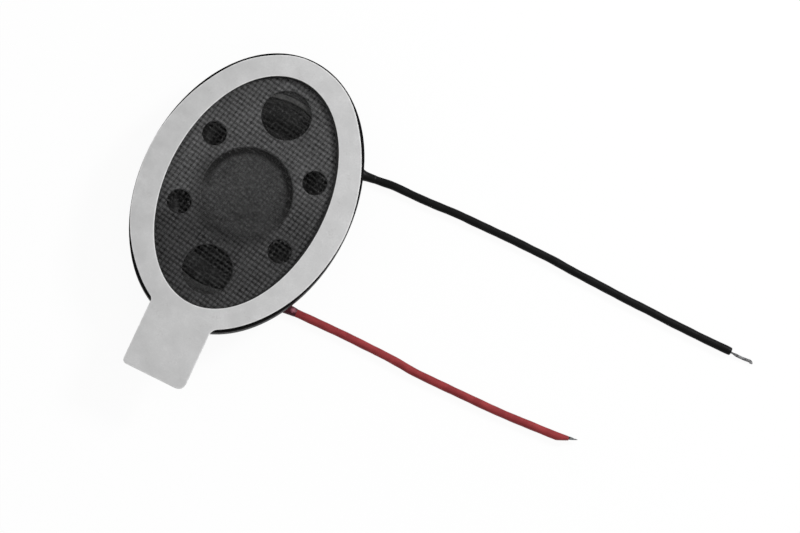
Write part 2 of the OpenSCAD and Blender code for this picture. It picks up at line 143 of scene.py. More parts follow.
class Nodes:
    """A tree of nodes, most of whose types start with the name of one family."""

    def __init__(self, tree, family):
        self.tree = tree
        self.family = family

    def feed(self, socket, value):
        """Links a value to a socket or sets it there. A single number for a colour is a grey."""
        if isinstance(value, Value):
            self.tree.links.new(value.socket, socket)
        elif socket.type == "RGBA" and not hasattr(value, "__len__"):
            socket.default_value = (value, value, value, 1)
        elif socket.type == "RGBA" and len(value) == 3:
            socket.default_value = (*value, 1)
        else:
            socket.default_value = value

    def node(self, kind, settings=(), sockets=(), output=0, family=None):
        """Adds a node: its settings come first, then its sockets' values or links."""
        made = self.tree.nodes.new((family or self.family) + kind)
        for name, value in dict(settings).items():
            setattr(made, name, value)
        for key, value in dict(sockets).items():
            self.feed(made.inputs[key], value)
        return Value(self, made.outputs[output])

    def math(self, operation, *values):
        return self.node("Math", {"operation": operation}, dict(enumerate(values)), family="ShaderNode")

    def mix(self, factor, a, b):
        """Colour a where the factor is 0, and b where it is 1."""
        return self.node("Mix", {"data_type": "RGBA"}, {0: factor, 6: a, 7: b}, 2, "ShaderNode")

    def parts(self, vector):
        """The X, Y and Z of a vector."""
        split = self.node("SeparateXYZ", {}, {0: vector}, family="ShaderNode").socket.node
        return [Value(self, part) for part in split.outputs]

    def vector(self, x, y, z):
        return self.node("CombineXYZ", {}, {"X": x, "Y": y, "Z": z}, family="ShaderNode")


class Finish(Nodes):
    """A material for one of the record's slots. Its patterns are laid out in millimetres of Object space."""

    def __init__(self, slot, **surface):
        self.slot = slot
        self.material = bpy.data.materials.new(slot)
        self.material.use_nodes = True
        super().__init__(self.material.node_tree, "ShaderNode")
        self.tree.nodes.clear()
        self.shader = self.tree.nodes.new("ShaderNodeBsdfPrincipled")
        output = self.tree.nodes.new("ShaderNodeOutputMaterial")
        self.tree.links.new(self.shader.outputs["BSDF"], output.inputs["Surface"])
        self.place = self.node("VectorMath", {"operation": "SCALE"},
                               {0: self.node("TexCoord", output="Object"), "Scale": 1 / MM})
        self.surface(**surface)

    def surface(self, **sockets):
        """Sets the shader's sockets, whose names are written with underscores."""
        for name, value in sockets.items():
            self.feed(self.shader.inputs[name.replace("_", " ").title().replace("Ior", "IOR")], value)

    def tone(self):
        """The surface's colour so far."""
        return Value(self, self.shader.inputs["Base Color"].links[0].from_socket)

    def axis(self, letter):
        """One coordinate of the surface, in millimetres."""
        return self.parts(self.place)["XYZ".index(letter)]

    def oval(self, size):
        """The square of how far out the place is, which is 1 on an oval of this length and width."""
        return (self.axis("X") / (size[1] / 2)) ** 2 + (self.axis("Y") / (size[0] / 2)) ** 2

    def away(self, x, y):
        """Distance from a point, seen from above."""
        return ((self.axis("X") - x) ** 2 + (self.axis("Y") - y) ** 2) ** 0.5

    def noise(self, size, detail=3.0, rough=0.5, squeeze=None):
        """Noise from 0 to 1 in patches of about this size. A squeeze below 1 draws them out that way."""
        place = self.place
        if squeeze:
            place = self.node("VectorMath", {"operation": "MULTIPLY"}, {0: place, 1: squeeze})
        return self.node("TexNoise", {}, {"Vector": place, "Scale": 1 / size, "Detail": detail,
                                          "Roughness": rough})

    def cells(self, size):
        """Distance inside cells of about this size, as a share of it."""
        return self.node("TexVoronoi", {}, {"Vector": self.place, "Scale": 1 / size})

    def share(self, attribute):
        """A mesh attribute from 0 to 1."""
        return self.node("Attribute", {"attribute_name": attribute}, output=2)

    def bump(self, height, depth):
        """The finish with its surface raised by the height, 0 to 1, times this depth in millimetres."""
        self.surface(normal=self.node("Bump", {}, {"Height": height, "Distance": depth * MM}))
        return self


CUT_EDGE = "cut edge"   # a mesh attribute: 1 at the liner's die-cut edges, which carry a painted highlight, and 0 away from them
WEFT = "weft"           # and one that is 1 on the mesh's crosswise threads, which are thinner


def liner_paper():
    """Grey release paper: cloudy, scratched and creased, with painted shade in patches towards -X and a
    painted highlight along its cut edges.
    """
    made = Finish("liner_paper", specular_ior_level=0.35)
    cloudy = made.noise(2.2, 3, 0.6).ramp(0.3, 0.7)
    fibre = made.noise(0.16, 3, 0.6)
    smudge = made.noise(0.9, 2).ramp(0.58, 0.72) * made.noise(0.2, 2).ramp(0.45, 0.7)
    scratch = made.noise(0.45, 1, 0.5, (0.16, 2.4, 1)).ramp(0.70, 0.73)
    highlight_patches = made.noise(0.55, 3).ramp(0.32, 0.62)
    folds = made.noise(1.3, 2, 0.6) - 0.5
    crease = (1 - made.math("ABSOLUTE", folds) * 55).clamp() * made.noise(1.0, 1).ramp(0.5, 0.62)
    # Darker in patches towards -X: painted shade.
    shade_towards_minus_x = made.axis("X").ramp(-1, -10) * (made.noise(1.5, 3, 0.6).ramp(0.3, 0.7) * 0.5 + 0.15)
    tone = made.mix(cloudy, 0.515, 0.61)
    tone = made.mix(fibre.ramp(0.35, 0.7) * 0.5, tone, (0.50, 0.50, 0.505))
    tone = made.mix(smudge * 0.4, tone, (0.38, 0.37, 0.36))
    tone = made.mix(scratch * 0.12 + crease * 0.18, tone, 0.78)
    tone = made.mix(shade_towards_minus_x, tone, 0.40)
    # Paler along the cut edges, in patches: a painted highlight.
    pale_edge_highlight = (made.share(CUT_EDGE) * (highlight_patches * 0.75 + 0.35)).clamp()
    made.surface(base_color=made.mix(pale_edge_highlight, tone, 0.76), roughness=fibre * 0.2 + 0.45)
    return made.bump(fibre, 0.006)


def mottled(slot, dark, light, patches, relief, depth, **surface):
    """A finish in patches of two tones, over a relief. Both are given as their noise's size and detail."""
    made = Finish(slot, **surface)
    made.surface(base_color=made.mix(made.noise(*patches), dark, light))
    return made.bump(made.noise(*relief), depth)


def adhesive_film():
    return mottled("adhesive_film", (0.62, 0.62, 0.60), (0.74, 0.74, 0.72), (0.3,), (0.08,), 0.004,
                   roughness=0.25, specular_ior_level=0.5)


def gasket_foam():
    made = Finish("gasket_foam", roughness=0.85, specular_ior_level=0.25)
    pores = made.cells(0.09).ramp(0.1, 0.6)
    made.surface(base_color=made.mix(pores, 0.005, 0.018))
    return made.bump(pores, 0.02)


def mesh_threads():
    """Thin dark threads that let a good deal of what lies under them through, less so towards the tab as
    painted shade, with painted glints.
    """
    made = Finish("mesh_cloth", roughness=0.6, specular_ior_level=0.15)
    streak = made.noise(0.4, 2, 0.5, (0.3, 1, 1)) * 0.6 + made.noise(0.4, 2, 0.5, (1, 0.3, 1)) * 0.4
    # Sparse pale dots that are also more opaque: painted glints on the threads.
    painted_glints = made.noise(0.14, 0).ramp(0.70, 0.78)
    made.surface(base_color=made.mix(painted_glints, made.mix(streak.ramp(0.38, 0.62), 0.010, 0.048), 0.10))
    thread_opacity = made.noise(0.35, 2).ramp(0.3, 0.7) * 0.20 + 0.10
    # More opaque towards the tab and +X, so darker there: painted shade.
    thread_opacity = thread_opacity * (1 + (made.axis("Y") - made.axis("X") * 0.4).ramp(0.5, -4) * 0.65)
    made.surface(alpha=(thread_opacity * (1 - made.share(WEFT) * 0.3) + painted_glints * 0.3).clamp())
    return made.bump(made.noise(0.03), 0.004)


RECESS_D = 8.6                  # round recess in the middle of the cover
SHADE_SPOT = (-1.2, -4.8)        # place of a spot of painted shade between the recess and the tab


def cover_black():
    """Stamped black sheet, with painted shade towards the tab, round its recess on the tab's side and on the
    recess's floor, and a painted shadow inside the recess against its +Y wall.
    """
    made = Finish("cover_black", specular_ior_level=0.2)
    x, y, out, radius = made.axis("X"), made.axis("Y"), made.away(0, 0), RECESS_D / 2
    ragged = out + made.noise(0.5) * 0.2 - 0.1
    grain = made.noise(0.12, 4, 0.6)
    tone = made.mix(grain * 0.5 + made.noise(0.3, 2).ramp(0.3, 0.7) * 0.5, (0.040, 0.040, 0.041),
                    (0.188, 0.188, 0.189))
    # Darker towards the tab and +X, in broad patches: painted shade.
    darkening = (y - x * 0.4).ramp(0.5, -2.5) * 0.33 + x.ramp(3, -3) * y.ramp(-3, -6) * 0.3
    tone = made.mix(darkening + made.noise(6, 2) * 0.3, tone, (0.038, 0.038, 0.039))
    # A band of painted shade round the recess's edge on its -Y side, and a spot of it towards the tab.
    shade_beside_recess = ((y + x * 0.6) / out).ramp(0.3, -0.5) * ragged.ramp(radius - 0.8, radius) * 0.6
    shade_beside_recess = shade_beside_recess * (1 - ragged.ramp(radius + 0.2, radius + 1.2))
    shade_spot = 1 - made.away(*SHADE_SPOT).ramp(0.8, 3.2)
    tone = made.mix(shade_beside_recess + shade_spot * 0.25, tone, 0.018)
    # The recess's floor is darker: painted shade.
    sunk = 1 - out.ramp(radius - 0.1, radius)
    bottom = made.mix(made.noise(0.22, 1).ramp(0.35, 0.65), 0.018, 0.084)
    tone = made.mix(sunk * (1 - shade_beside_recess) * 0.75, tone, bottom)
    # A crescent of painted shadow inside the recess, against its wall on the +Y side.
    painted_shadow = ragged.ramp(radius - 0.85, radius - 0.4) + out.ramp(radius - 1.8, radius - 0.4) * 0.25
    painted_shadow = (y / out).ramp(-0.4, 0.2) * sunk * painted_shadow.clamp()
    made.surface(base_color=made.mix(painted_shadow, tone, 0.004), roughness=grain * 0.25 + 0.35)
    return made.bump(grain, 0.006)


def moulded(slot, dark, light, gloss):
    """Fine-grained moulded plastic, rubbed a little paler here and there."""
    made = Finish(slot, specular_ior_level=gloss)
    grain = made.noise(0.07, 4, 0.65)
    rubbed = made.noise(1.6, 3).ramp(0.4, 0.75)
    made.surface(base_color=made.mix(rubbed * 0.6 + grain * 0.3, dark, light), roughness=grain * 0.2 + 0.32)
    return made.bump(grain, 0.008)


def clamp_plastic(groove):
    """The clamp ring's plastic, painted darker as shade outside the oval of its groove and towards the tab.
    """
    made = moulded("clamp_plastic", (0.062, 0.062, 0.061), (0.10, 0.10, 0.099), 0.3)
    # Darker outside the groove's oval and towards the tab: painted shade.
    outside = made.mix(made.oval(groove).ramp(1.0, 1.01), made.tone(), 0.055)
    made.surface(base_color=made.mix(made.axis("Y").ramp(0, -8) * 0.6, outside, 0.025))
    return made


def film(slot, dark, light, roughness):
    """Thin formed film, slightly uneven."""
    return mottled(slot, dark, light, (0.8, 2), (0.35, 2), 0.01,
                   roughness=roughness, specular_ior_level=0.15)


def surround_film(foot):
    """The surround's film, paler outside an oval on its +Y side: painted light at the roll's foot."""
    made = film("film_surround", 0.011, 0.022, 0.45)
    painted_light = (made.oval(foot) + made.noise(0.4) * 0.04).ramp(1.0, 1.05) * made.axis("Y").ramp(-4, 4)
    made.surface(base_color=made.mix(painted_light, made.tone(), (0.15, 0.15, 0.148)))
    return made


def copper_wire():
    """Enamelled wire, shaded turn by turn."""
    made = Finish("copper_wire", roughness=0.3, metallic=1.0)
    half_turn = 0.04
    turns = made.math("PINGPONG", made.axis("Z"), half_turn) / half_turn
    made.surface(base_color=made.mix(turns, (0.42, 0.17, 0.07), (0.80, 0.42, 0.22)))
    return made.bump(turns, 0.02)


def plated_steel():
    made = Finish("yoke_steel", metallic=1.0)
    streak = made.noise(0.25, 4, 0.6, (1, 6, 1))
    darkening = made.noise(1.8, 3).ramp(0.45, 0.7)
    made.surface(base_color=made.mix(darkening, (0.58, 0.58, 0.59), 0.42),
                 roughness=streak * 0.3 + darkening * 0.15 + 0.22)
    return made.bump(streak, 0.006)


def magnet_nickel():
    return mottled("magnet_nickel", (0.55, 0.55, 0.56), 0.68, (0.6,), (0.1,), 0.004,
                   roughness=0.25, metallic=1.0)


def damping_cloth():
    made = Finish("damping_cloth", roughness=0.9, specular_ior_level=0.2)
    along = made.noise(0.07, 4, 0.7, (1, 3, 1))
    fibres = along * 0.5 + made.noise(0.07, 4, 0.7, (3, 1, 1)) * 0.5
    made.surface(base_color=made.mix(fibres.ramp(0.38, 0.62), 0.03, (0.30, 0.30, 0.29)))
    return made.bump(fibres, 0.06)


def board_green():
    return mottled("board_green", (0.012, 0.075, 0.03), (0.03, 0.13, 0.055), (0.25, 2), (0.25, 2), 0.006,
                   roughness=0.3, specular_ior_level=0.5)


def tinned(slot, roughness, depth):
    """Tin, as a bright drop of solder or a dull dipped pad."""
    made = Finish(slot, metallic=1.0)
    frost = made.noise(0.12, 3)
    made.surface(base_color=made.mix(frost, (0.56, 0.56, 0.57), (0.76, 0.76, 0.77)),
                 roughness=frost * 0.25 + roughness)
    return made.bump(frost, depth)


def strand_tin():
    """Tinned strands, dulled and darkened by handling."""
    made = Finish("lead_strands", roughness=0.55, metallic=0.5, specular_ior_level=0.2)
    tarnish = made.noise(0.22, 3).ramp(0.35, 0.65)
    made.surface(base_color=made.mix(tarnish, (0.06, 0.06, 0.062), (0.32, 0.32, 0.325)))
    return made.bump(made.noise(0.1), 0.004)


def glue_dark():
    return mottled("glue_dark", 0.002, 0.006, (0.4,), (0.5, 2), 0.03,
                   roughness=0.4, specular_ior_level=0.12)


HIGHLIGHT_SPOT = (8.60, -7.39)      # place of the painted highlight on the clear glue


def glue_clear():
    """Clear glue, dark over the red sleeve's root, with a painted highlight."""
    made = mottled("glue_clear", (0.030, 0.004, 0.008), (0.095, 0.012, 0.020), (0.3,), (0.3, 2), 0.03,
                   roughness=0.35, specular_ior_level=0.15)
    painted_highlight = 1 - (made.away(*HIGHLIGHT_SPOT) + made.noise(0.15) * 0.3).ramp(0.16, 0.46)
    made.surface(base_color=made.mix(painted_highlight, made.tone(), (0.46, 0.17, 0.21)))
    return made


def insulation(slot, dark, light, gloss):
    """Extruded sleeve: faint lengthwise marks, and patches that are rubbed dull."""
    made = Finish(slot, specular_ior_level=gloss)
    marks = made.noise(0.35, 3, 0.6, (0.35, 2.2, 2.2))
    rubbed = made.noise(1.1, 3).ramp(0.35, 0.7)
    made.surface(base_color=made.mix(marks * 0.4 + rubbed * 0.6, dark, light), roughness=rubbed * 0.2 + 0.4)
    return made.bump(marks, 0.015)


# ---- meshes ----


def piece(mesh, finish, node, body=HOUSING):
    """Puts a mesh in place of one of the frame's solids, in its finish and riding on its body."""
    made = placed(mesh.name, mesh)
    mesh.materials.clear()
    mesh.materials.append(finish.material)
    if body:
        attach(made, body)
    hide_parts(node)
    return made


def editing(*meshes):
    """One copy of some meshes that can be edited."""
    shell = bmesh.new()
    for mesh in meshes:
        shell.from_mesh(mesh)
    return shell


def written(shell, mesh):
    """The mesh, with what was edited written to it."""
    shell.to_mesh(mesh)
    shell.free()
    return mesh


def mesh_of(name, points, faces, smooth=True):
    """A mesh in metres from points in millimetres, with its faces turned outwards."""
    mesh = bpy.data.meshes.new(name)
    mesh.from_pydata([Vector(p) * MM for p in points], [], faces)
    shell = editing(mesh)
    bmesh.ops.recalc_face_normals(shell, faces=shell.faces)
    written(shell, mesh).polygons.foreach_set("use_smooth", [smooth] * len(faces))
    return mesh


def joined(name, *meshes):
    """One mesh in place of several."""
    whole = editing(*meshes)
    for mesh in meshes:
        bpy.data.meshes.remove(mesh)
    return written(whole, bpy.data.meshes.new(name))


def strip_faces(rows, columns, close_rows=False):
    """Quads between closed rows of points that are numbered row by row."""
    faces = []
    for i in range(rows if close_rows else rows - 1):
        for k in range(columns):
            here, there = i * columns, (i + 1) % rows * columns
            after = (k + 1) % columns
            faces.append((here + k, here + after, there + after, there + k))
    return faces


def rounding(width, drop, steps=4):
    """A rounded edge, from its upper end down: pairs of inset from the wall and height below the face."""
    turns = [pi / 2 * k / steps for k in range(steps + 1)]
    return [(width * (1 - sin(a)), drop * (1 - cos(a))) for a in turns]


def oval_point(length, width, angle, z, power=1.0):
    """A point of an oval. A power above 1 draws it in a little between its axes."""
    x, y = (copysign(abs(c) ** power, c) for c in (cos(angle), sin(angle)))
    return width / 2 * x, length / 2 * y, z


def grown(oval, out):
    """The length and width of an oval that is moved outwards."""
    return tuple(size + 2 * out for size in oval)


def all_round(count):
    """Angles of this many equal steps round a circle."""
    return [2 * pi * k / count for k in range(count)]


def oval_shell(name, profile, around=256, smooth=True):
    """A closed ring whose section is a loop of ovals: length, width, height and, if not 1, power."""
    rows = [oval_point(l, w, a, z, *power) for a in all_round(around) for l, w, z, *power in profile]
    return mesh_of(name, rows, strip_faces(around, len(profile), close_rows=True), smooth)


MERGE = 0.0002          # points of a solid's loose triangles that lie closer than this are one
FLAT, SHARP = 0.5, 35   # angles in degrees below which faces are one, and above which an edge is rounded


def eased(node, finish, width, segments=2):
    """The solid's own shape with every sharp edge rounded, in place of the plain solid."""
    copy = editing(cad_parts[node].data)
    bmesh.ops.remove_doubles(copy, verts=copy.verts, dist=MERGE * MM)
    bmesh.ops.dissolve_limit(copy, angle_limit=radians(FLAT), verts=copy.verts, edges=copy.edges)
    mesh = written(copy, bpy.data.meshes.new(node + "_eased"))
    mesh.shade_smooth()
    made = piece(mesh, finish, node)
    bevel = made.modifiers.new("eased", "BEVEL")
    bevel.width = width * MM
    bevel.segments = segments
    bevel.limit_method = "ANGLE"
    bevel.angle_limit = radians(SHARP)
    bevel.harden_normals = True
    return baked(made)


def baked(made):
    """The piece with its modifiers applied."""
    graph = bpy.context.evaluated_depsgraph_get()
    mesh = bpy.data.meshes.new_from_object(made.evaluated_get(graph), depsgraph=graph)
    made.modifiers.clear()
    made.data = mesh
    return made


# ---- leads ----

LEAD_D, CORE_D, LEAD_Z = 0.8, 0.32, 0.42       # diameters of a lead and its strands, and its middle's height
# The leads' routes and the red tip's, seen from above, and the black tip's with its heights
BLACK_ROUTE = [(5.3, 6.65), (6.8, 6.8), (7.3, 6.85), (8.9, 7.05), (10.5, 7.25), (11.7, 7.4), (14, 7.45),
               (16, 7.55), (18, 7.7), (20, 7.75), (22, 7.8), (24, 7.85), (26, 7.85), (28, 7.85),
               (30, 7.75), (32, 7.7), (34, 7.65), (36, 7.6), (38, 7.6), (40, 7.55), (42, 7.55),
               (44, 7.55), (46.5, 7.6)]
BLACK_TIP = [(46.3, 7.6, 0.42), (46.8, 7.56, 0.36), (47.3, 7.55, 0.28), (47.75, 7.56, 0.22),
             (48.25, 7.6, 0.19), (48.62, 7.64, 0.19), (48.79, 7.58, 0.2), (48.82, 7.47, 0.18)]
RED_ROUTE = [(4.8, -7.5), (6.3, -7.5), (7, -7.5), (8.6, -7.45), (10.2, -7.4), (12, -7.35), (14, -7.3),
             (16, -7.3), (18, -7.3), (19.5, -7.35), (21, -7.45), (22.5, -7.45), (25, -7.4), (27, -7.35),
             (29, -7.3), (31, -7.2), (33, -7.05), (35, -6.9), (36.65, -6.75)]
RED_TIP = [(35.7, -6.835), (36.3, -6.7), (36.73, -6.49), (37.13, -6.456), (37.82, -6.39)]
STRIPPED, GLUED = 1, 2          # points of each route at which the insulation and the glue start
SNIP = radians(27)              # direction of the slanting cut at the red lead's end, from +X
SNIP_SPARE = 1.6                # how far the red lead is drawn past its cut before it is cut
WORN_PAST = 0.2                 # how far the black sleeve reaches past its route
THIN_STEP = 0.12                # how far apart the points of strands and fine wires are
SPLIT_AT, SPLIT = (36.734, -6.505, 0), radians(117)     # where the red sleeve ends, and how it tore
BARE_GIRTH, BARE_GROWTH, BARE_FROM = 0.65, 1.2, 46.95   # the black strands' girth, and how it grows with x


def at_lead_height(route):
    return [Vector((x, y, LEAD_Z)) for x, y in route]


def flowing(points, step=0.25):
    """Points about this far apart on the smooth curve through the given ones."""
    ends = [2 * points[0] - points[1], *points, 2 * points[-1] - points[-2]]
    fine = []
    for before, a, b, after in zip(ends, ends[1:], ends[2:], ends[3:]):
        count = max(1, round((b - a).length / step))
        for k in range(count):
            t = k / count
            fine.append(0.5 * (2 * a + (b - before) * t + (2 * before - 5 * a + 4 * b - after) * t ** 2
                               + (3 * a - before - 3 * b + after) * t ** 3))
    return [*fine, points[-1]]


def heading(line, i):
    """The direction of a line at one of its points."""
    return (line[min(i + 1, len(line) - 1)] - line[max(i - 1, 0)]).normalized()


def tube(name, line, radii, sides=20):
    """A closed tube along a line, with a radius for each of its points."""
    rows = []
    side = None
    for i, point in enumerate(line):
        along = heading(line, i)
        side = side or Vector((0, 0, 1)).cross(along) or Vector((1, 0, 0))
        side = (side - side.dot(along) * along).normalized()
        over = along.cross(side)
        rows += [point + radii[i] * (cos(a) * side + sin(a) * over) for a in all_round(sides)]
    caps = [tuple(range(sides))[::-1], tuple(range(len(rows) - sides, len(rows)))]
    return mesh_of(name, rows, strip_faces(len(line), sides) + caps)


def sleeve_radii(count):
    """A lead's radius along its length, a little uneven."""
    return [LEAD_D / 2 - 0.01 + 0.006 * sin(0.9 * i) + 0.005 * sin(0.37 * i + 1) for i in range(count)]


def rounded_end(line, radii, reach=0.16, steps=5):
    """Adds rings that round off the far end of a line, and returns the longer line and radii."""
    along = (line[-1] - line[-2]).normalized()
    tip, r = line[-1] - reach * along, radii[-1]
    line, radii = line[:-1] + [tip], radii[:]
    for k in range(1, steps + 1):
        a = pi / 2 * k / steps
        line.append(tip + reach * sin(a) * along)
        radii.append(r - reach * (1 - cos(a)))
    return line, radii


def cut_off(mesh, point, along):
    """Cuts a mesh with the upright plane that runs through a point in a direction, and closes the cut."""
    normal = Vector((-sin(along), cos(along), 0))
    body = editing(mesh)
    everything = [*body.verts, *body.edges, *body.faces]
    cut = bmesh.ops.bisect_plane(body, geom=everything, plane_co=Vector(point) * MM, plane_no=-normal,
                                 clear_outer=True, dist=1e-8)
    edges = [e for e in cut["geom_cut"] if isinstance(e, bmesh.types.BMEdge)]
    bmesh.ops.holes_fill(body, edges=edges, sides=0)
    bmesh.ops.recalc_face_normals(body, faces=body.faces)
    return written(body, mesh)


def strands(name, line, twist=2.6, girths=None, sides=6):
    """Seven fine wires, six of them twisted round the first, along a line with a girth at each point."""
    wire_r = CORE_D / 6.3       # three wires across, laid a little loosely
    girths = girths or [1.0] * len(line)
    parts = []
    for k in range(7):
        laid, gone = [], 0.0
        for i, point in enumerate(line):
            if i:
                gone += (point - line[i - 1]).length
            along = heading(line, i)
            side = Vector((0, 0, 1)).cross(along).normalized()
            over = along.cross(side)
            a = 2 * pi * (k / 6 + gone / twist)
            out = 0.0 if k == 6 else 2 * wire_r * girths[i]
            laid.append(point + out * (cos(a) * side + sin(a) * over))
        parts.append(tube(name, laid, [wire_r * g for g in girths], sides))
    return joined(name, *parts)


def lengthened(points, extra):
    return [*points, points[-1] + extra * (points[-1] - points[-2]).normalized()]


def add_lead(colour, sleeve, tip, route, finish, tin):
    """A lead's sleeve, and its strands from where they come out of its solder."""
    soldered = flowing([*route[:STRIPPED + 1], route[STRIPPED + 1]], THIN_STEP)
    lead = piece(sleeve, finish, "lead_" + colour)
    core = piece(joined(colour + "_strands", tip, strands("root", soldered)), tin, "conductor_" + colour)


def add_black_lead(tin):
    """Worn round at its end, with its twisted strands bare, thin at the sleeve and hooked at the tip."""
    finish = insulation("insulation_black", 0.0012, (0.006, 0.006, 0.0062), 0.12)
    route = at_lead_height(BLACK_ROUTE)
    line = flowing(lengthened(route[STRIPPED:], WORN_PAST))
    sleeve = tube("black_lead", *rounded_end(line, sleeve_radii(len(line))))
    bare = flowing([Vector(p) for p in BLACK_TIP], 0.07)
    girths = [min(1.0, BARE_GIRTH + BARE_GROWTH * max(0.0, p.x - BARE_FROM)) for p in bare]
    add_lead("black", sleeve, strands("tip", bare, 1.1, girths), route, finish, tin)


def add_red_lead(tin):
    """Snipped off at a slant, with its squashed strands bare at the point."""
    finish = insulation("insulation_red", (0.20, 0.020, 0.024), (0.36, 0.045, 0.048), 0.18)
    route = at_lead_height(RED_ROUTE)
    longer = flowing(lengthened(route[STRIPPED:], SNIP_SPARE))
    sleeve = cut_off(tube("red_lead", longer, sleeve_radii(len(longer))), route[-1], SNIP)
    tip = cut_off(strands("tip", flowing(at_lead_height(RED_TIP), THIN_STEP)), route[-1], SNIP)
    add_lead("red", cut_off(sleeve, SPLIT_AT, SPLIT), tip, route, finish, tin)


# Drops of glue: pairs of distance from the start and radius
BLACK_FLARE = [(0, 0.75), (0.5, 0.74), (0.85, 0.72), (1.05, 0.66), (1.25, 0.56), (1.45, 0.49), (1.7, 0.445),
               (2.1, 0.42), (2.4, 0.405), (2.7, 0.37)]
RED_FLARE = [(0, 0.55), (0.6, 0.53), (0.9, 0.5), (1.15, 0.475), (1.4, 0.45), (1.65, 0.43), (1.85, 0.405),
             (2.0, 0.37)]
GLUE_LOW, GLUE_HIGH = 0.03, 0.98        # heights at which the drops are flat, at the table and the frame


def glue_drop(name, route, flare):
    """A drop round a lead's root that thins to nothing along the lead."""
    along = (route[GLUED + 1] - route[GLUED]).normalized()
    mesh = tube(name, [route[GLUED] + d * along for d, r in flare], [r for d, r in flare])
    for v in mesh.vertices:
        v.co.z = min(max(v.co.z, GLUE_LOW * MM), GLUE_HIGH * MM)
    return mesh


def add_leads():
    tin = strand_tin()
    add_black_lead(tin)
    add_red_lead(tin)
    for colour, route, flare, glue in (("black", BLACK_ROUTE, BLACK_FLARE, glue_dark()),
                                       ("red", RED_ROUTE, RED_FLARE, glue_clear())):
        piece(glue_drop("glue_drop_" + colour, at_lead_height(route), flare), glue, "glue_" + colour)


add_leads()

# ---- front stack: liner, adhesive, foam and dust mesh ----

TURN, OFF_MIDDLE = 0.2, 0.07    # how the whole stack was stuck on: turned in degrees, and moved to -Y
GASKET, GASKET_POWER = (27.36, 19.89), 1.048    # length and width, and the power of its oval
OPENING = (23.3, 15.1)
TAB_W, TAB_OUT, TAB_X, TAB_LEAN = 6.25, 5.6, -0.2, 0.2  # width, reach and place, and the end's lean
TAB_CORNERS = {-1: 0.5, 1: 0.9}         # radius of the tab's corner on each side
TAB_ROOTS = {-1: 0.3, 1: 0.6}           # reach of the fillet where each side leaves the oval
TAB_SAG, TAB_CURL = 0.22, 1.6           # how far the tab's end hangs down, more and more by this power
TAB_FOLDS, TAB_FOLD, TAB_INSIDE = 23, 0.27, 0.6         # its bends, how far apart, and where they start
# Where the liner's edge strays from the oval: angle and spread in degrees, and height
BULGES = [(64, 15, 0.18), (100, 10, 0.05), (126, 12, 0.08), (152, 10, -0.03), (211, 15, 0.13),
          (334, 18, 0.05), (5, 14, 0.03)]
SHOULDER, SHOULDER_DROP = 0.14, 0.035   # the die-cut liner's rounded edge
FOAM_SHIFT = (-0.11, -0.04)             # how far the foam's opening lies off the liner's
FOAM_IN = 0.09                          # and how much narrower it is on each side
CLOTH_RIM = 0.3                         # how far the cloth's threads are seen past the opening
STUCK_ON = Matrix.Translation((0, -OFF_MIDDLE * MM, 0)) @ Matrix.Rotation(radians(TURN), 4, "Z")


def oval_band(name, inner, shift, z0, z1, width, drop):
    """A flat ring with rounded upper edges, from the gasket's edge to an inner (length, width)."""
    edge = rounding(width, drop)
    outside = [(*grown(GASKET, -i), z1 - d, GASKET_POWER) for i, d in edge]
    inside = [(*grown(inner, i), z1 - d) for i, d in edge]
    loop = [*outside, (*GASKET, z0, GASKET_POWER), (*inner, z0), *inside[::-1]]
    mesh = oval_shell(name, loop)
    for i, v in enumerate(mesh.vertices):
        if i % len(loop) > len(outside):
            v.co += Vector((*shift, 0)) * MM
    mesh.transform(STUCK_ON)
    return mesh


def lower_edge(x):
    """The point of the gasket's oval at -Y that lies at x."""
    half_l, half_w = GASKET[0] / 2, GASKET[1] / 2
    return Vector((x, -half_l * (1 - (abs(x) / half_w) ** (2 / GASKET_POWER)) ** (GASKET_POWER / 2)))


def bend(a, corner, b, steps=10):
    """Points of a curve from a to b that is bent round the corner between them."""
    return [a.lerp(corner, t).lerp(corner.lerp(b, t), t) for t in (k / steps for k in range(steps + 1))]


def bulge(angle):
    """How far the liner's outer edge stands out from the gasket's oval at an angle."""
    reach = 0.0
    for middle, spread, height in BULGES:
        off = (degrees(angle) - middle + 180) % 360 - 180
        reach += height * exp(-(off / spread) ** 2)
    return reach


def tabbed_oval(around=320):
    """The liner's outer edge: the gasket's oval, with the pull tab across its end at -Y."""
    half_w, tip = GASKET[1] / 2, -GASKET[0] / 2 - TAB_OUT
    turns, roots, corners = {}, {}, {}
    for side in (-1, 1):
        root = lower_edge(TAB_X + side * TAB_W / 2)
        corner = Vector((TAB_X + TAB_LEAN + side * TAB_W / 2, tip))
        leave = lower_edge(root.x + side * TAB_ROOTS[side])
        turns[side] = acos((abs(leave.x) / half_w) ** (1 / GASKET_POWER))
        down = (corner - root).normalized()
        roots[side] = bend(leave, root, root + TAB_ROOTS[side] * down)
        r = TAB_CORNERS[side]
        corners[side] = bend(corner - r * down, corner, corner - Vector((side * r, 0)))
    sweep = pi + turns[-1] + turns[1]
    oval = []
    for k in range(1, around):
        angle = -turns[1] + sweep * k / around
        oval.append(Vector(oval_point(*grown(GASKET, bulge(angle)), angle, 0, GASKET_POWER)[:2]))
    return [*oval, *roots[-1], *corners[-1], *corners[1][::-1], *roots[1][::-1]]


def spread_evenly(points, step):
    """Points of a closed outline, with more added on its long straight stretches."""
    fine = []
    for a, b in zip(points, points[1:] + points[:1]):
        count = max(1, round((b - a).length / step))
        fine += [a + (b - a) * k / count for k in range(count)]
    return fine


def drawn_in(points, distance):
    """A closed anticlockwise outline moved inwards."""
    inner = []
    for i, p in enumerate(points):
        along = (points[(i + 1) % len(points)] - points[i - 1]).normalized()
        inner.append(p + distance * Vector((-along.y, along.x)))
    return inner


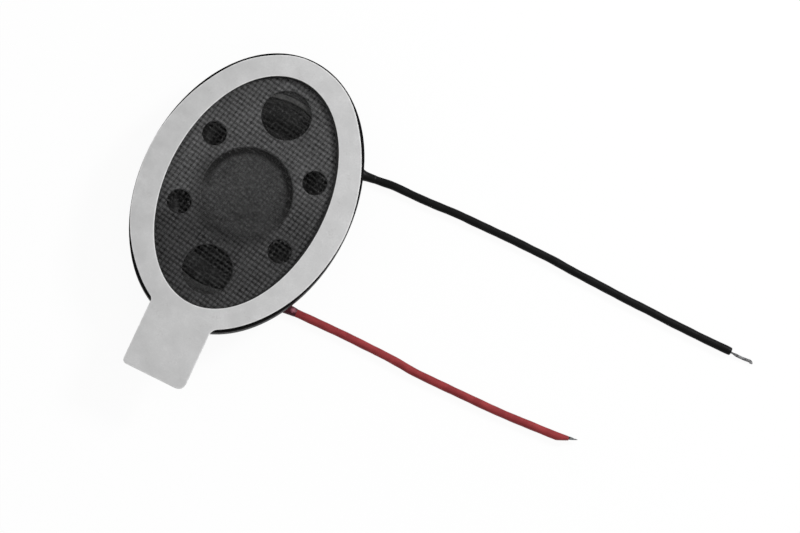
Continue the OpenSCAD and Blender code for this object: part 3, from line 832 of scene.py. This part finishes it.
def edge_rings(shell, outline, inward, low, high):
    """Rings of points down one cut edge of the liner, with a stronger painted highlight the nearer they are
    to the cut.
    """
    edge_highlight = shell.verts.layers.float[CUT_EDGE]
    rings = []
    for inset, drop in [*rounding(SHOULDER, SHOULDER_DROP, 5), (0, high - low)]:
        rings.append([shell.verts.new((*p, high - drop)) for p in drawn_in(outline, inset * inward)])
        for v in rings[-1]:
            v[edge_highlight] = 1 - inset / SHOULDER
    for upper, lower in zip(rings, rings[1:]):
        for k in range(len(outline)):
            after = (k + 1) % len(outline)
            shell.faces.new((upper[k], upper[after], lower[after], lower[k]))
    return rings[0], rings[-1]


def cut_liner():
    """The die-cut liner: rounded upper edges, flat underneath, its tab hanging a little."""
    low, high = heights("release_liner")
    inner = [Vector(oval_point(*OPENING, a, 0)[:2]) for a in all_round(256)]
    shell = bmesh.new()
    shell.verts.layers.float.new(CUT_EDGE)
    ends = (edge_rings(shell, spread_evenly(tabbed_oval(), 0.3), 1, low, high),
            edge_rings(shell, inner, -1, low, high))
    for rings in zip(*ends):
        edges = [shell.edges.get((ring[k - 1], ring[k])) for ring in rings for k in range(len(ring))]
        bmesh.ops.triangle_fill(shell, edges=edges, use_beauty=True)
    for k in range(1, TAB_FOLDS + 1):
        y = -GASKET[0] / 2 + TAB_INSIDE - k * TAB_FOLD
        bmesh.ops.bisect_plane(shell, geom=[*shell.verts, *shell.edges, *shell.faces],
                               plane_co=(0, y, 0), plane_no=(0, 1, 0), dist=1e-6)
    bmesh.ops.recalc_face_normals(shell, faces=shell.faces)
    for v in shell.verts:
        past = max(0.0, -GASKET[0] / 2 - v.co.y) / TAB_OUT
        v.co.z -= TAB_SAG * past ** TAB_CURL
        v.co *= MM
    mesh = written(shell, bpy.data.meshes.new("liner"))
    mesh.transform(STUCK_ON)
    mesh.shade_smooth()
    return mesh


WEAVE_TURN = -8.5       # how the cloth's threads lie, in degrees from X
WEAVE = {"Pitch": 0.435, "Warp width": 0.22, "Weft width": 0.16, "Thread height": 0.05, "Ripple": 0.05,
         "Length": OPENING[0] + 1, "Width": OPENING[1] + 1, "Turn": radians(TURN - WEAVE_TURN)}


def thread_lines(weave, sizes, along_x):
    """Straight lines of edges along X or Y, cut to an oval and lifted over and under the other way's."""
    pitch, turn = sizes["Pitch"], sizes["Turn"]
    count = weave.math("CEIL", sizes["Length"] / pitch)
    size = count * pitch
    coarse, fine = count + 1.0, count * 2.0 + 1.0
    counts = (fine, coarse) if along_x else (coarse, fine)
    grid = weave.node("MeshGrid", {}, {"Size X": size, "Size Y": size,
                                       "Vertices X": counts[0], "Vertices Y": counts[1]})
    first, second = (weave.parts(weave.node("InputMeshEdgeVertices", output="Position " + end))[
        1 if along_x else 0] for end in "12")
    crosswise = weave.math("GREATER_THAN", weave.math("ABSOLUTE", first - second), 1e-6)
    bars = weave.node("DeleteGeometry", {"domain": "EDGE", "mode": "EDGE_FACE"},
                      {"Geometry": grid, "Selection": crosswise})
    place = weave.node("InputPosition")
    x, y = weave.parts(place)[:2]
    turn_cos, turn_sin = weave.math("COSINE", turn), weave.math("SINE", turn)
    across = (x * turn_cos + y * turn_sin) / (sizes["Width"] * 0.5)
    along = (y * turn_cos - x * turn_sin) / (sizes["Length"] * 0.5)
    outside = weave.math("GREATER_THAN", across * across + along * along, 1.0)
    kept = weave.node("DeleteGeometry", {"domain": "POINT"}, {"Geometry": bars, "Selection": outside})
    wave = weave.math("COSINE", (x + y + size) / pitch * pi)
    lift = wave * (sizes["Thread height"] * (0.5 if along_x else -0.5))
    drift = weave.node("TexNoise", {}, {"Vector": place, "Scale": 0.7, "Detail": 1.0}, "Color", "ShaderNode")
    drift_x, drift_y = ((part - 0.5) * sizes["Ripple"] for part in weave.parts(drift)[:2])
    offset = weave.vector(drift_x, drift_y, lift)
    moved = weave.node("SetPosition", {}, {"Geometry": kept, "Offset": offset})
    return weave.node("MeshToCurve", {}, {"Mesh": moved})


def weave_tree(finish):
    """Geometry nodes that lay threads over and under each other, cut to an oval."""
    weave = Nodes(bpy.data.node_groups.new("woven threads", "GeometryNodeTree"), "GeometryNode")
    weave.tree.interface.new_socket("Geometry", in_out="OUTPUT", socket_type="NodeSocketGeometry")
    for name, value in WEAVE.items():
        socket = weave.tree.interface.new_socket(name, in_out="INPUT", socket_type="NodeSocketFloat")
        socket.default_value = value
    given = weave.node("GroupInput", family="Node").socket.node.outputs
    sizes = {name: Value(weave, given[name]) for name in WEAVE}
    both = weave.node("JoinGeometry")
    for along_x, width in ((True, "Warp width"), (False, "Weft width")):
        ring = weave.node("CurvePrimitiveCircle", {"mode": "RADIUS"}, {"Resolution": 6, "Radius": 0.5})
        oval = weave.vector(sizes[width], sizes["Thread height"], 1.0)
        section = weave.node("Transform", {}, {"Geometry": ring, "Scale": oval})
        threads = weave.node("CurveToMesh", {}, {"Curve": thread_lines(weave, sizes, along_x),
                                                 "Profile Curve": section, "Fill Caps": True})
        marked = weave.node("StoreNamedAttribute", {"data_type": "FLOAT", "domain": "POINT"},
                            {"Geometry": threads, "Name": WEFT, "Value": float(not along_x)})
        weave.feed(both.socket.node.inputs[0], marked)
    real = weave.node("RealizeInstances", {}, {0: both})
    smooth = weave.node("SetShadeSmooth", {}, {0: real})
    painted = weave.node("SetMaterial", {}, {"Geometry": smooth, "Material": finish.material})
    weave.feed(weave.tree.nodes.new("NodeGroupOutput").inputs[0], painted)
    return weave.tree


def woven_threads(finish, z):
    """The mesh's threads as a plain mesh at a height, from the geometry nodes."""
    tree = weave_tree(finish)
    maker = placed("weave", bpy.data.meshes.new("weave"))
    modifier = maker.modifiers.new("weave", "NODES")
    modifier.node_group = tree
    for socket in tree.interface.items_tree:
        if socket.in_out == "INPUT":
            modifier[socket.identifier] = WEAVE[socket.name]
    mesh = baked(maker).data
    bpy.data.objects.remove(maker)
    lay = Matrix.Translation((0, -OFF_MIDDLE, z)) @ Matrix.Rotation(radians(WEAVE_TURN), 4, "Z")
    mesh.transform(Matrix.Scale(MM, 4) @ lay)
    return mesh


def add_front_stack():
    piece(cut_liner(), liner_paper(), "release_liner")
    for node, finish, inner, shift, edge in (
            ("gasket_adhesive", adhesive_film(), OPENING, (0, 0), (0.02, 0.01)),
            ("front_gasket", gasket_foam(), grown(OPENING, -FOAM_IN), FOAM_SHIFT, (0.03, 0.03))):
        piece(oval_band(finish.slot, inner, shift, *heights(node), *edge), finish, node)
    finish = mesh_threads()
    threads = woven_threads(finish, sum(heights("dust_mesh")) / 2)
    rim = oval_band("rim", grown(OPENING, CLOTH_RIM), (0, 0), *heights("dust_mesh"), 0.01, 0.01)
    cloth = piece(joined("woven_mesh", threads, rim), finish, "dust_mesh")


add_front_stack()

# ---- diaphragm, surround and voice coil ----

PLATE_T, FILM_T, FILM_RIM = 0.1, 0.08, 0.6      # thickness of plate and film, and width of the film's rims
ROLL_W, ROLL_H = 2.2, 0.45
ROLL_AROUND, ROLL_RIBS, RIB_H = 384, 64, 0.03
DOME_D, DOME_H = 8.8, 0.3
# Rings of the plate round its dome: share of the way to the plate's edge, and how far each is pressed in
PLATE_RINGS = [(0.05, 0.0), (0.09, 0.03), (0.16, 0.03), (0.20, 0.0), (0.6, 0.0), (1.0, 0.0)]
LIT_FOOT_IN = 0.4        # how far in over the surround the painted light at the roll's foot reaches
COIL_OD, COIL_ID, COIL_H, COIL_WIRE = 10.8, 9.8, 1.5, 0.1
COIL_DIP = 0.02         # how deep the coil's walls dip between two turns
WIRE_R = 0.06           # radius of the wires from the coil to the terminal boards
WIRE_LEVEL, WIRE_HELD = 6.9, 7.2        # how far out they run level, and from where they are held
WIRE_BEND, WIRE_DIPS, WIRE_UPRIGHT = 0.3, (0.12, 0.35), 1.6     # their bend: width, depths and lower end
plate_z = heights("diaphragm")[0]
film_z = plate_z + PLATE_T
plate_w = 2 * node_box("diaphragm")[1][0]
cone_l = 2 * node_box("surround")[1][1] - 2 * FILM_RIM
plate_l = cone_l - 2 * ROLL_W
CONE_RATIO = plate_w / plate_l
CONE_OVAL = (cone_l, cone_l * CONE_RATIO)


def roll_height(across, angle):
    """Height of the film over its rims: across is -1 at the roll's inner foot and 1 at its outer."""
    if abs(across) >= 1:
        return 0.0
    half = ROLL_W / 2
    arc = (half * half + ROLL_H * ROLL_H) / (2 * ROLL_H)
    arch = sqrt(arc * arc - (across * half) ** 2) - arc + ROLL_H
    return arch - RIB_H * (1 - across * across) * (0.5 + 0.5 * sin(ROLL_RIBS * angle + 3 * across))


def half_roll(name, start, end, steps=14):
    """The film between two places across the roll, carried round the oval."""
    middle = plate_l / 2 + ROLL_W / 2
    acrosses = [start + (end - start) * k / steps for k in range(steps + 1)]
    rim = 1 + 2 * FILM_RIM / ROLL_W
    acrosses = [-rim] + acrosses if start <= -1 else acrosses + [rim]
    rows = []
    for a in all_round(ROLL_AROUND):
        for lift, order in ((0.0, acrosses), (FILM_T, acrosses[::-1])):
            for across in order:
                out = middle + across * ROLL_W / 2
                z = film_z + lift + roll_height(across, a)
                rows.append((out * CONE_RATIO * cos(a), out * sin(a), z))
    return mesh_of(name, rows, strip_faces(ROLL_AROUND, 2 * len(acrosses), close_rows=True))


def domed_plate(around=192, rings=16):
    """The diaphragm: an oval plate with a round dome, and a fine embossed ring round the dome."""
    ball = (DOME_D ** 2 / 4 + DOME_H ** 2) / (2 * DOME_H)
    levels = []
    for k in range(1, rings + 1):
        r = DOME_D / 2 * k / rings
        levels.append((r, 0.0, film_z + sqrt(ball * ball - r * r) - ball + DOME_H))
    for share, dip in PLATE_RINGS:
        levels.append((DOME_D / 2, share, film_z - dip))
    levels += [(r, share, z - PLATE_T) for r, share, z in levels[::-1]]
    rows = []
    for r, share, z in levels:
        x, y = (r + share * (size / 2 - r) for size in (plate_w, plate_l))
        rows += [(x * cos(a), y * sin(a), z) for a in all_round(around)]
    faces = strip_faces(len(levels), around)
    last = (len(levels) - 1) * around
    top, under = len(rows), len(rows) + 1
    rows += [(0, 0, film_z + DOME_H), (0, 0, plate_z + DOME_H)]
    for i in range(around):
        after = (i + 1) % around
        faces += [(top, i, after), (under, last + after, last + i)]
    return mesh_of("domed_plate", rows, faces)


def wound_coil():
    """The voice coil: a ring whose walls are scalloped by its turns."""
    low = plate_z - COIL_H
    turns = round(COIL_H / COIL_WIRE)
    levels = [low + COIL_H * (k + 0.5) / (4 * turns) for k in range(4 * turns)]
    walls = []
    for wall, out in ((COIL_OD / 2, 1), (COIL_ID / 2, -1)):
        for z in levels[::out]:
            r = wall - out * COIL_DIP * (1 - abs(sin(pi * turns * (z - low) / COIL_H)))
            walls.append((2 * r, 2 * r, z))
    return oval_shell("wound_coil", walls, around=128)


def coil_lead(name, node):
    """A fine wire from the coil, over the yoke's wall and down to its terminal board."""
    low, high = node_box(node)
    level = high[2] - WIRE_R
    far = max((low, high), key=lambda c: abs(c[1]))
    hole = Vector((high[0] - WIRE_R, far[1] - copysign(WIRE_R, far[1]), 0))
    out = hole.normalized()
    legs = [(COIL_OD / 2 * out, level), (WIRE_LEVEL * out, level),
            ((hole.length - WIRE_BEND) * out, level - WIRE_DIPS[0]), (hole, level - WIRE_DIPS[1]),
            (hole, WIRE_UPRIGHT), (hole, low[2])]
    line = flowing([place + Vector((0, 0, z)) for place, z in legs], THIN_STEP)
    return tube(name, line, [WIRE_R] * len(line), 8), out


def add_cone():
    skin = surround_film(grown(CONE_OVAL, -LIT_FOOT_IN))
    piece(half_roll("surround_outer", 0, 1), skin, "surround")
    inner = piece(half_roll("surround_inner", -1, 0), skin, "surround", body=None)
    crest = film_z + ROLL_H + FILM_T
    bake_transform(inner, CONE, HOUSING, start=(0, 0, film_z * MM), end=(0, 0, crest * MM))
    plate = film("film_diaphragm", 0.008, 0.015, 0.4)
    piece(domed_plate(), plate, "diaphragm", CONE)
    copper = copper_wire()
    piece(wound_coil(), copper, "voice_coil", CONE)
    for colour in ("black", "red"):
        mesh, out = coil_lead("coil_lead_" + colour, "coil_wire_" + colour)
        wire = piece(mesh, copper, "coil_wire_" + colour, body=None)
        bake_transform(wire, CONE, HOUSING, start=COIL_OD / 2 * out * MM, end=WIRE_HELD * out * MM)


add_cone()

# ---- cover, clamp ring, frame and motor ----

# The clamp ring's rounded inner edge, and its groove: how far out from the hole, width and depth
CLAMP_EDGE = [(0, -0.04), (0.012, -0.012), (0.04, 0)]
GROOVE_AT, GROOVE_W, GROOVE_DEEP = 0.45, 0.11, 0.15


def grooved_clamp():
    """The clamp ring, with a fine groove round its upper face."""
    low, high = node_box("clamp_ring")
    top, far = high[2], GROOVE_AT + GROOVE_W
    across = [(0, low[2] - top), *CLAMP_EDGE, (GROOVE_AT, 0), (GROOVE_AT, -GROOVE_DEEP), (far, -GROOVE_DEEP),
              (far, 0)]
    loop = [(*grown(CONE_OVAL, out), top + up) for out, up in across]
    outer = (2 * high[1], 2 * high[0])
    return oval_shell("grooved_clamp", [*loop, (*outer, top), (*outer, low[2])], smooth=False)


def add_hard_parts():
    steel = plated_steel()
    tin = tinned("solder_tin", 0.08, 0.01)
    pads = tinned("pad_tin", 0.2, 0.006)
    green = board_green()
    cloth = damping_cloth()
    eased("front_cover", cover_black(), 0.05)
    piece(grooved_clamp(), clamp_plastic(grown(CONE_OVAL, GROOVE_AT)), "clamp_ring")
    eased("frame", moulded("frame_plastic", (0.003, 0.003, 0.0031), (0.010, 0.010, 0.0103), 0.04), 0.06, 3)
    eased("yoke", steel, 0.12, 3)
    eased("pole_plate", steel, 0.05)
    eased("magnet", magnet_nickel(), 0.06)
    for side in ("1", "2"):
        eased("vent_cloth_" + side, cloth, 0.02)
    for lead in ("black", "red"):
        eased("terminal_board_" + lead, green, 0.02)
        eased("terminal_pad_" + lead, pads, 0.015)
        eased("solder_" + lead, tin, 0.03)
        eased("wire_solder_" + lead, tin, 0.02)


add_hard_parts()

# ---- light and floor ----

FLOOR_REACH_M, FLOOR_DROP_M = 1.5, 0.00001      # in metres: the floor lies just under the object


def add_floor():
    """A floor that looks white, takes the shadow and throws back less light than it shows."""
    made = Finish("floor", roughness=0.9, specular_ior_level=0.0)
    path = made.tree.nodes.new("ShaderNodeLightPath").outputs
    camera, glossy, clear = (Value(made, path["Is " + kind + " Ray"]) for kind in (
        "Camera", "Glossy", "Transmission"))
    seen = (camera + glossy + clear).clamp()
    made.surface(base_color=made.mix(seen, 0.45, 0.93))
    glow = made.node("Emission", {}, {"Color": 1.0, "Strength": 1.0})
    mixed = made.node("MixShader", {}, {0: seen * 0.94, 1: Value(made, made.shader.outputs[0]), 2: glow})
    output = next(n for n in made.tree.nodes if n.type == "OUTPUT_MATERIAL")
    made.feed(output.inputs["Surface"], mixed)
    mesh = bpy.data.meshes.new("floor")
    corners = ((-1, -1), (1, -1), (1, 1), (-1, 1))
    mesh.from_pydata([(x * FLOOR_REACH_M, y * FLOOR_REACH_M, -FLOOR_DROP_M) for x, y in corners], [],
                     [(0, 1, 2, 3)])
    mesh.materials.append(made.material)
    placed("floor", mesh)


def add_lamp(name, toward, distance_m, size_m, power):
    """A square lamp that shines on the loudspeaker from a direction."""
    data = bpy.data.lights.new(name, "AREA")
    data.size = size_m
    data.energy = power
    lamp = placed(name, data)
    lamp.location = Vector(toward).normalized() * distance_m
    lamp.rotation_euler = Vector(toward).to_track_quat("Z", "Y").to_euler()


def add_light():
    """A world that looks white and lights the object at half that strength, and two lamps."""
    world = bpy.data.worlds.new("studio")
    world.use_nodes = True
    sky = Nodes(world.node_tree, "ShaderNode")
    background = world.node_tree.nodes["Background"]
    background.inputs["Strength"].default_value = 0.5
    seen = sky.node("LightPath", output="Is Camera Ray")
    sky.feed(background.inputs["Color"], sky.mix(seen, 1.0, 2.0))
    bpy.context.scene.world = world
    add_lamp("key", toward=(0.75, 1.0, 1.0), distance_m=0.25, size_m=0.06, power=0.4)
    add_lamp("overhead", toward=(0.1, -0.2, 1.0), distance_m=0.6, size_m=0.5, power=0.35)


add_floor()
add_light()
bpy.context.scene.view_settings.view_transform = "Standard"
